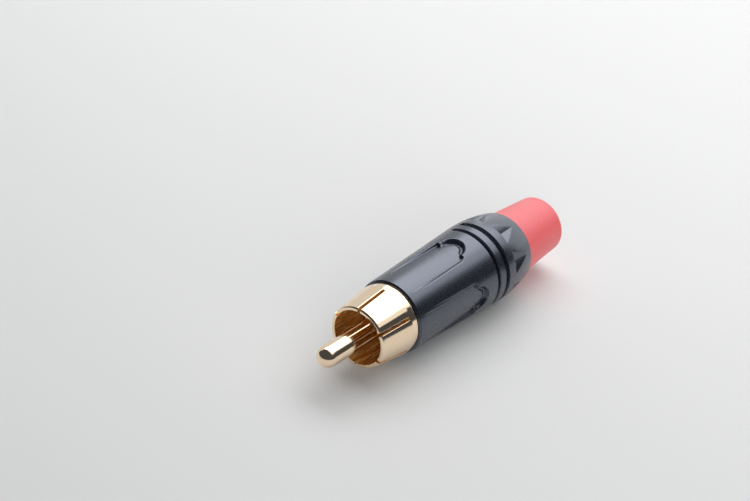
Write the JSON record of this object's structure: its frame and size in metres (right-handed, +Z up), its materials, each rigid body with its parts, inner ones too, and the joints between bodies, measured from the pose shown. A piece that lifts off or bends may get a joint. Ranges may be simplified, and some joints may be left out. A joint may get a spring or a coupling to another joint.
{
  "type": "phono plug",
  "caption": "Phono (RCA) cable plug: gold-plated centre pin in a slotted crown, a screw-on black housing with grip pockets and a tapered red cable boot.",
  "frame": {"origin": "on the axis of the centre pin, in the plane of the crown's rim", "axes": "+Y along the axis towards the cable end, the pin points to -Y, +Z up through the middle of a grip pocket with the plug lying on its side"},
  "size_m": [0.013, 0.0515, 0.013],
  "materials": {
    "gold_plate": "polished gold plate on turned brass",
    "insulator_plastic": "moulded heat-proof plastic",
    "tag_brass": "stamped, gold-plated brass",
    "chuck_plastic": "moulded black plastic",
    "boot_plastic": "soft satin moulded plastic",
    "black_paint": "satin black paint on die-cast zinc"
  },
  "bodies": {
    "contacts": {"ground_contact": "gold_plate", "insulator": "insulator_plastic", "centre_pin": "gold_plate", "ground_tag": "tag_brass"},
    "cable_grip": {"boot": "boot_plastic", "chuck": "chuck_plastic"},
    "housing": {"housing": "black_paint"}
  },
  "joints": [
    {"name": "housing_travel", "type": "slide", "parent": "contacts", "child": "cable_grip", "axis": [0, 1, 0], "range_m": [0, 0.0041]},
    {"name": "housing_turn", "type": "hinge", "parent": "cable_grip", "child": "housing", "pos_m": [0, 0, 0], "axis": [0, 1, 0], "range_deg": [0, 1440]}
  ],
  "couplings": [
    {"joint": "housing_travel", "follows": "housing_turn", "m_per_rad": 0.00015915}
  ]
}
